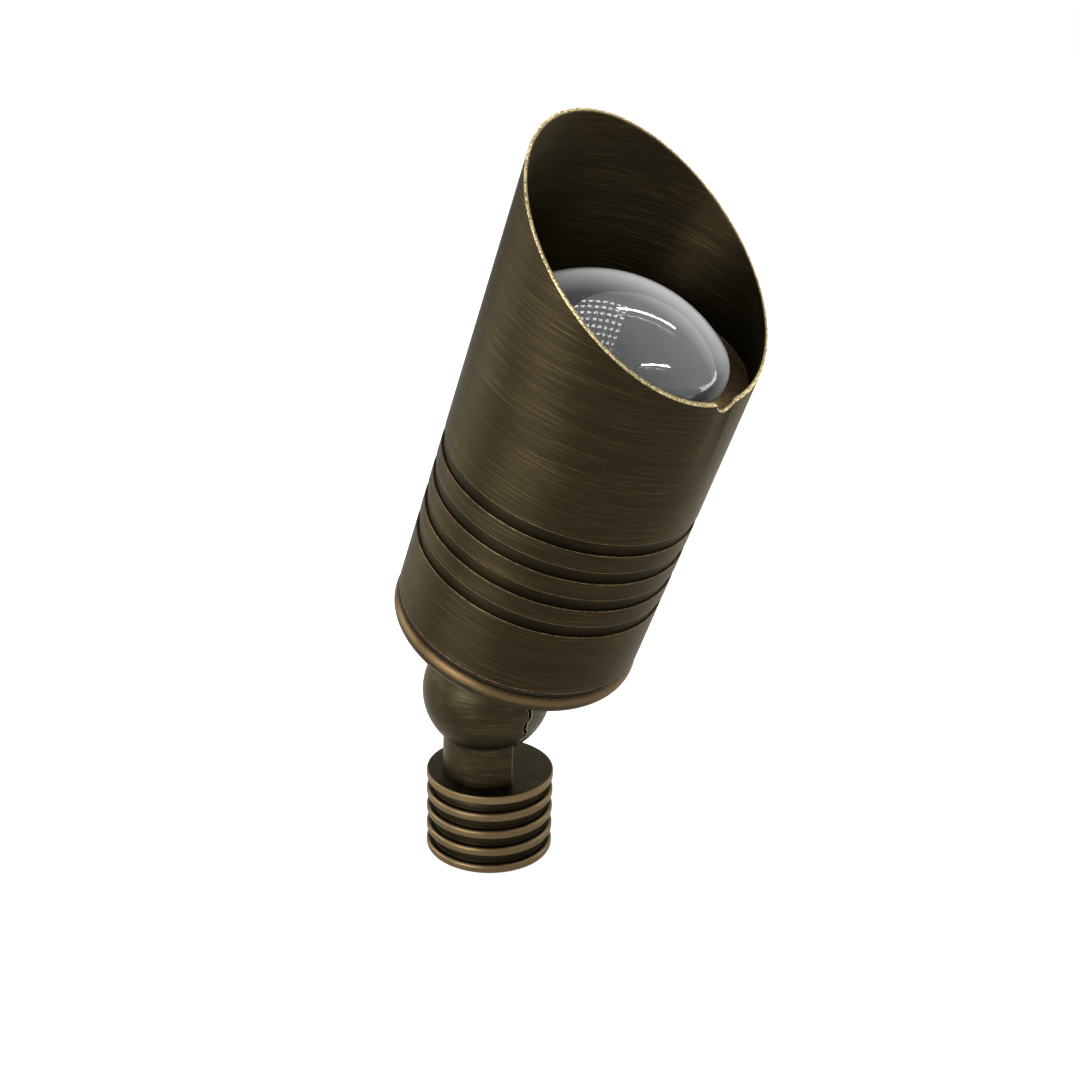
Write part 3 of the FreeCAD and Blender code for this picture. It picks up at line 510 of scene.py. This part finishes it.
# ---- Upper knuckle: the head's half ----
# The other half of the casting, leaned with the head; its round foot and nipple go up into the base cap.
joints = {joint["name"]: joint for joint in frame["joints"]}
pivot = tuple(1000 * c for c in joints["head_tilt"]["pos_m"])
beam = Vector(joints["shroud_turn"]["axis"])
tilt = math.atan2(-beam.y, beam.z)
# Its brass is a lighter, greyer copy of the stem half's colours, as painted light on this half's teeth.
head_brass_lighter_copy = cast_brass("antique_brass_casting_painted_lit_copy", ("#35322a", "#565044", "#857d6d", "#0b0a07"),
                        axis_at=pivot, lean=tilt)
dress("upper_knuckle", head_brass_lighter_copy)
dress("neck_o_ring", black_rubber)


# ---- Base cap: the rolled coppery edge under the tube ----
# Turned brass cup with a full-round edge, polished more than the rest and so redder; the tube screws down
# over its spigot, and the knuckle's nipple comes up through its floor.

def on_head(grid, aim=0.0):
    """Turn a grid drawn upright about the pivot to its aim, lean it by the tilt and lift it to the pivot."""
    turn = np.array(Matrix.Rotation(tilt, 3, "X") @ Matrix.Rotation(aim, 3, "Z"))
    return grid @ turn.T + np.array(pivot)


def bow(start, through, end, steps):
    """Points on the circle through three (r, z) points; its centre is on both chords' upright bisectors."""
    a, b, c = (np.array(p, float) for p in (start, through, end))
    middle = np.linalg.solve(np.array([b - a, c - a]), np.array([(b @ b - a @ a) / 2, (c @ c - a @ a) / 2]))
    angles = np.unwrap([math.atan2(*(p - middle)[::-1]) for p in (a, b, c)])
    sweep = np.linspace(angles[0], angles[2], steps)
    return middle + np.linalg.norm(a - middle) * np.column_stack([np.cos(sweep), np.sin(sweep)])


tube_radius, cap_underside, bead_radius, cap_radius = 31.75, 21.3, 3.1, 31.98
cap_step, spigot_top, spigot_radius, spigot_bore, cap_floor = 27.0, 40.0, 29.87, 26.87, 25.5
nipple_bore, ring_inside, ring_outside, ring_depth = 9.95, 11.5, 13.45, 1.85
bead_r, bead_z, bead_rows = cap_radius - bead_radius, cap_underside + bead_radius, 33
step_r = bead_r + math.sqrt(bead_radius ** 2 - (cap_step - bead_z) ** 2)
bead = bow((bead_r, cap_underside), (cap_radius, bead_z), (step_r, cap_step), bead_rows)
share = np.linspace(0, 1, bead_rows)
# Up the bead from its underside: no rubbing low down, so it stays dark as painted shade; a painted highlight
# band on its upper half; and just under the tube's edge a painted shadow with some patina.
bead_painted_highlight = np.interp(share, [0, 0.5, 0.62, 0.74, 0.84, 1], [0, 0.05, 0.3, 1, 0.5, 0])
bead_patina_and_shadow = np.interp(share, [0.93, 1], [0, 1])
ring_floor = cap_underside + ring_depth
inside = soft_outline([
    (spigot_radius, cap_step, 0, 0, 1.0), (spigot_radius, spigot_top - 1, 0.2, 0.2, 0),
    (spigot_radius - 1, spigot_top, 0.2, 0.4, 0), (spigot_bore, spigot_top, 0.2, 0.3, 0),
    (spigot_bore, cap_floor, 0.3, 0, 0.5), (nipple_bore, cap_floor, 0, 0, 0),
    (nipple_bore, cap_underside, 0, 0, 0), (ring_inside, cap_underside, 0, 0, 0),
    (ring_inside + 0.05, ring_floor, 0, 0, 1), (ring_outside, ring_floor, 0, 0, 1),
    (ring_outside, cap_underside, 0, 0, 0)])
base_cap = turned("base_cap_body", np.vstack([np.column_stack([bead, bead_painted_highlight, bead_patina_and_shadow]), inside]),
                  on_head, 320)
cap_brass = blackened_brass("copper_toned_brass_rolled_edge", ("#251e15", "#352a1c", "#4b3d29", "#0c0905"),
                            line=(12.0, 0.3), axis_at=pivot, lean=tilt, roughness=0.4, stretch=0.5, bare=0.1,
                            dash=0.4)
base_cap.data.materials.append(cap_brass)
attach(base_cap, "head")
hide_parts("base_cap")
dress("shroud_o_ring", black_rubber)


# ---- What is fixed inside the base cap ----
# Brass nut and washer on the nipple, a silicone plug for the two supply wires, and the bent steel bridge that
# carries the lamp holder on two screws.
silicone = soft_solid("clear_grey_silicone", "#b5b8b4", "#c9ccc8", 0.45, 0.8, ior=1.41)
raw_brass = steel("machined_yellow_brass", "#b08d4c", 0.3)
dress("nut_washer", raw_brass)
dress("knuckle_nut", raw_brass)
dress("wire_seal", silicone)
dress("socket_bracket", bright_steel)
dress("bracket_screws", bright_steel)


# ---- Lamp holder and its wiring ----
# White steatite two-pin socket with nickel-plated contacts; two short leads in glass-fibre sleeve loop down
# and up into closed-end crimp caps.
steatite = soft_solid("white_steatite", "#d9d5c8", "#e6e2d6", 0.5, 0.5)
sleeve = soft_solid("woven_glass_sleeve", "#d4cdb9", "#ebe5d4", 0.75, 0.35, 0.05)
nylon = soft_solid("grey_nylon", "#8f9296", "#a2a5a8", 0.4, 0.9)
nickel = steel("nickel_plated_contact", "#c2bca9", 0.25)
dress("lamp_holder", steatite)
dress("holder_screws", bright_steel)
dress("holder_contacts", nickel)
dress("socket_leads", sleeve)
dress("crimp_caps", nylon)


# ---- Reflector lamp ----
# A 50 mm pressed-glass bowl, mirrored inside in rings of small facets, with a quartz capsule cemented in its
# base and a satin front glass that spreads the beam.

def clear_glass(name, code, roughness, ior=1.5):
    """Glass: all light goes through, bent by its IOR; a little uneven where it was pressed or moulded."""
    made, tree, where = new_material(name)
    rough = ramp(tree, noise(tree, where, 120.0, 2.0), low=max(roughness - 0.02, 0), high=roughness + 0.02)
    shader = add(tree, "ShaderNodeBsdfPrincipled", {
        "Base Color": linear(code), "Roughness": rough, "Transmission Weight": 1.0, "IOR": ior})
    add(tree, "ShaderNodeOutputMaterial", {"Surface": shader.outputs[0]})
    return made


mirror_glass = clear_glass("pressed_borosilicate_glass", "#e8ecea", 0.08, 1.47)
quartz = clear_glass("quartz_glass", "#fbfbfb", 0.01, 1.46)
satin_glass = clear_glass("satin_front_glass", "#b9bfc0", 0.45)
cement = soft_solid("ceramic_cement", "#cfc8b4", "#dcd6c5", 0.8, 0.3, 0.06)
dress("lamp_reflector", mirror_glass)
dress("lamp_cement", cement)
dress("lamp_capsule", quartz)
dress("lamp_pins", nickel)
dress("lamp_front_glass", satin_glass)

# The mirror coat is a thin shell just inside the bowl, from its mouth through its waist to its floor. Facets
# 3 mm wide are pillows: within one the surface bulges by a product of two half sines, so that each throws its
# own small spot.
bowl_mouth, bowl_waist, bowl_floor = (22.1, 92.3), (18.1, 75.9), (7.0, 63.75)
facets, rings, bulge, coat, bowl_rows = 30, 7, 0.22, 0.08, 57
curve = bow(bowl_mouth, bowl_waist, bowl_floor, bowl_rows)
turns = np.linspace(0, 2 * np.pi, facets * 8, endpoint=False)
up_rings = np.linspace(0, np.pi * rings, bowl_rows)
pillow = bulge * np.abs(np.outer(np.sin(turns * facets / 2), np.sin(up_rings)))
loop_r = np.hstack([curve[:, 0] - pillow, np.tile(curve[::-1, 0] + coat, (len(turns), 1))])
loop_z = np.concatenate([curve[:, 1], curve[::-1, 1] - 0.05])
grid = np.stack([loop_r * np.sin(turns)[:, None], -loop_r * np.cos(turns)[:, None],
                 np.tile(loop_z, (len(turns), 1))], -1)
mirror_coat = skin("reflector_mirror_coat", on_head(grid))
mirror_coat.data.materials.append(steel("dichroic_mirror_coat", "#d8dcdf", 0.12))
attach(mirror_coat, "head")


# ---- Shroud: tube and slanted hood in one ----
# Turned from heavy brass tube: four grooves round it, its top sawn aslant, a drain notch filed at the lowest
# point of the lip, and a ledge inside over the lens. The lip is rubbed bright.
aim = math.radians(3.0)
body_bore, hood_bore, ledge_bore = 29.95, 30.95, 26.02
tube_bottom, ledge_bottom, ledge_top, cut_height = 28.6, 105.9, 107.7, 129.8
slope = math.tan(math.radians(29.8))
groove_count, first_groove, pitch, groove, depth = 4, 18.3, 8.13, 3.25, 0.6
notch_radius, notch_depth, notch_half_width, lip_round = 3.5, 1.8, 3.06, 0.14

# In each groove the floor's two corners, and inside the hood the corner where its wall meets the ledge, carry
# the grime mark: dark patina and painted shade.
corners = [(body_bore, tube_bottom, 0.15, 0.3, 0), (tube_radius, tube_bottom, 0.22, 1.0, 0)]
foot_edge = list(corners)
for k in range(groove_count):
    low = tube_bottom + first_groove + k * pitch
    corners += [(tube_radius, low, 0.12, 0.75, 0), (tube_radius - depth, low, 0.14, 0, 1.0),
                (tube_radius - depth, low + groove, 0.1, 0, 0.8), (tube_radius, low + groove, 0.12, 1.0, 0)]
# An arc needs the corners on both sides of it, so each outline has a corner too many, which isn't kept.
wall_top, wall_foot, hood_foot = 90.0, 92.0, 109.5
outer = soft_outline(corners + [(tube_radius, wall_top, 0, 0, 0)])[corner_rows:]
foot = soft_outline(foot_edge + [(tube_radius, wall_top, 0, 0, 0), (body_bore, wall_top, 0, 0, 0)]
                    )[:corner_rows]
inner = soft_outline([(hood_bore, hood_foot - 0.5, 0, 0, 0), (hood_bore, ledge_top, 0.15, 0, 0.7),
                      (ledge_bore, ledge_top, 0.12, 0.6, 0), (ledge_bore, ledge_bottom, 0.1, 0, 0),
                      (body_bore, ledge_bottom, 0.1, 0, 0), (body_bore, tube_bottom, 0.15, 0.3, 0)]
                     )[:-corner_rows]

# Columns crowd together across the notch, so that its two corners are crisp.
crowded = 1.6 * math.degrees(math.asin(notch_half_width / tube_radius))
across = np.radians(np.concatenate([np.arange(-crowded, crowded, 0.12),
                                    np.linspace(crowded, 360 - crowded, 340, endpoint=False)]))
low_lip = cut_height - slope * tube_radius
notch_middle = low_lip - notch_depth + notch_radius


def lip_height(r, a):
    """Height of the sawn lip at radius r and turn a: the aslant plane, or the notch's bottom if lower."""
    plane = cut_height - slope * r * np.cos(a)
    aside = r * np.sin(a)
    bottom = notch_middle - np.sqrt(notch_radius ** 2 - np.clip(aside, -notch_radius, notch_radius) ** 2)
    in_notch = (np.abs(aside) < notch_radius) & (np.cos(a) > 0)
    return np.where(in_notch, np.minimum(plane, bottom), plane)


def wall(r, foot_z, shares):
    """Rows (r, z for every column) up a wall from its foot to a little under the lip, by share of the way."""
    top = lip_height(r, across[:, None]) - 3 * lip_round
    return np.full(len(shares), r), foot_z + (top - foot_z) * np.array(shares)


def strip(r, z, wear_and_painted_light=0.0, grime_and_shade=0.0, lip=0.0):
    """Rows of the tube's skin: radius, height for every column, and the three marks."""
    return [r, z + np.zeros((len(across), len(r))), *(mark + np.zeros(len(r)) for mark in (wear_and_painted_light, grime_and_shade, lip))]


quarter = np.linspace(0, np.pi / 2, 5)
lip_r = np.concatenate([tube_radius - lip_round * (1 - np.cos(quarter)),
                        np.linspace(tube_radius - 2 * lip_round, hood_bore + 2 * lip_round, 3),
                        hood_bore + lip_round * (1 - np.cos(quarter[::-1]))])
lip_drop = lip_round * np.concatenate([1 - np.sin(quarter), np.zeros(3), 1 - np.sin(quarter[::-1])])
lip_z = lip_height(lip_r, across[:, None]) - lip_drop
bright_lip = np.clip(1.35 - 1.3 * (tube_radius - lip_r) / (tube_radius - hood_bore), 0, 1)
strips = [strip(*foot.T), strip(*outer.T), strip(*wall(tube_radius, wall_foot, (0.25, 0.5, 0.75, 0.92, 1.0))),
          strip(lip_r, lip_z, wear_and_painted_light=bright_lip, lip=bright_lip),
          strip(*wall(hood_bore, hood_foot, (1.0, 0.9, 0.7, 0.45, 0.2))), strip(*inner.T)]
row_r, row_z, wear_and_painted_light, dirt_and_painted_shade, lip = (np.concatenate(part, axis=-1) for part in zip(*strips))

# The ledge gets the wear mark all over, which paints it lighter as painted light from above; the grooves'
# floors are darkest low down, next to each lower wall, as painted shade.
wear_and_painted_light[(np.abs(row_z[0] - ledge_top) < 0.01) & (row_r < hood_bore - 0.1)] = 0.7
on_floor = np.abs(row_r - tube_radius + depth) < 0.02
up_groove = ((row_z[0] - tube_bottom - first_groove) % pitch) / groove
dirt_and_painted_shade = np.where(on_floor, np.maximum(dirt_and_painted_shade, 0.85 - 0.6 * up_groove), dirt_and_painted_shade)

grid = np.stack([row_r * np.sin(across)[:, None], -row_r * np.cos(across)[:, None], row_z], -1)
spread = np.append(across, across[0] + 2 * np.pi) * tube_radius
climb = np.concatenate([[0], np.cumsum(np.hypot(np.diff(row_r), np.diff(row_z[len(across) // 2])))])
uv = np.stack(np.meshgrid(spread, np.append(climb, climb[-1] + 1), indexing="ij"), -1)
marks = {name: mark + np.zeros(row_z.shape) for name, mark in (("wear_and_painted_light", wear_and_painted_light), ("grime_and_shade", dirt_and_painted_shade), ("lip", lip))}
shroud = skin("shroud_tube", on_head(grid, aim), marks=marks, uv=uv)
tube_brass = blackened_brass("antique_brass_brushed_tube", ("#252015", "#675839", "#6e5b3e", "#090806"),
                             line=(26.0, 0.2), axis_at=pivot, lean=tilt, sawn=("#5f5034", "#d3c398"))
shroud.data.materials.append(tube_brass)
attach(shroud, "shroud")
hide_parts("shroud")


# ---- Lens, its gasket and its ring ----
# A thick moulded glass dome with a flange, held up against a silicone gasket by a threaded brass ring. Seen
# edge on, the glass is painted whiter and less clear, as painted light carried into its rim; seen squarely it
# lets the lamp show through.
lens_bottom, gasket_bottom, lens_top, dome_radius, thick = 101.9, 104.9, 120.9, 35.9, 3.2
flange_radius, lens_radius, shoulder = 29.2, 25.87, 5.2
dome_z = lens_top - dome_radius
shoulder_r = lens_radius - shoulder
shoulder_reach = dome_radius - shoulder
shoulder_z = dome_z + math.sqrt(shoulder_reach ** 2 - shoulder_r ** 2)
angle = math.asin(shoulder_r / shoulder_reach)
hollow_radius, hollow_r, fillet_r, fillet_drop = dome_radius - thick, lens_radius - thick, 1.5, 1.9
hollow_angle = math.asin((hollow_r - fillet_r) / hollow_radius)
fillet_z = dome_z + hollow_radius * math.cos(hollow_angle)
fillet = bow((hollow_r - fillet_r, fillet_z), (hollow_r - 0.42, fillet_z - 0.7),
             (hollow_r, fillet_z - fillet_drop), 9)[1:]
flange = soft_outline([
    (hollow_r, lens_bottom, 0.2, 0, 0), (flange_radius, lens_bottom, 0.3, 0, 0),
    (flange_radius, gasket_bottom, 0.3, 0, 0), (lens_radius, gasket_bottom, 0.2, 0, 0),
    (lens_radius, shoulder_z, 0, 0, 0), (hollow_r, shoulder_z, 0, 0, 0)])[:-2, :2]


def arc(centre_r, centre_z, radius, angles):
    """Points (r, z) on an arc; its angles are measured from straight up."""
    return np.column_stack([centre_r + radius * np.sin(angles), centre_z + radius * np.cos(angles)])


lens_rows = np.vstack([
    flange, arc(shoulder_r, shoulder_z, shoulder, np.linspace(math.pi / 2, angle, 15)),
    arc(0, dome_z, dome_radius, np.linspace(angle, 0, 40)[1:]),
    arc(0, dome_z, hollow_radius, np.linspace(0, hollow_angle, 32)),
    fillet])
unmarked = np.zeros((len(lens_rows), 2))
lens = turned("lens_dome", np.hstack([lens_rows, unmarked]), lambda grid: on_head(grid, aim), 256)
lens_glass, tree, where = new_material("moulded_lens_glass")
# Seen edge on, the glass turns whiter and less clear: painted light for the light the dome carries into its
# rim.
edge_on_painted_light = ramp(tree, add(tree, "ShaderNodeLayerWeight", {"Blend": 0.5}).outputs["Facing"], 0.45, 0.8)
waves = noise(tree, where, 150.0, 3.0)
bump = add(tree, "ShaderNodeBump", {"Strength": 0.1, "Distance": 0.0002, "Height": waves})
shader = add(tree, "ShaderNodeBsdfPrincipled", {
    "Base Color": mix(tree, edge_on_painted_light, linear("#9c9f9f"), linear("#eef1f0")), "Roughness": 0.03, "IOR": 1.5,
    "Transmission Weight": ramp(tree, edge_on_painted_light, low=0.75, high=0.1), "Subsurface Weight": 1.0,
    "Subsurface Radius": (1, 1, 1), "Subsurface Scale": 0.006, "Normal": bump.outputs[0]})
add(tree, "ShaderNodeOutputMaterial", {"Surface": shader.outputs[0]})
lens.data.materials.append(lens_glass)
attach(lens, "shroud")
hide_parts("lens")
dress("lens_gasket", silicone)
dress("lens_ring", raw_brass)
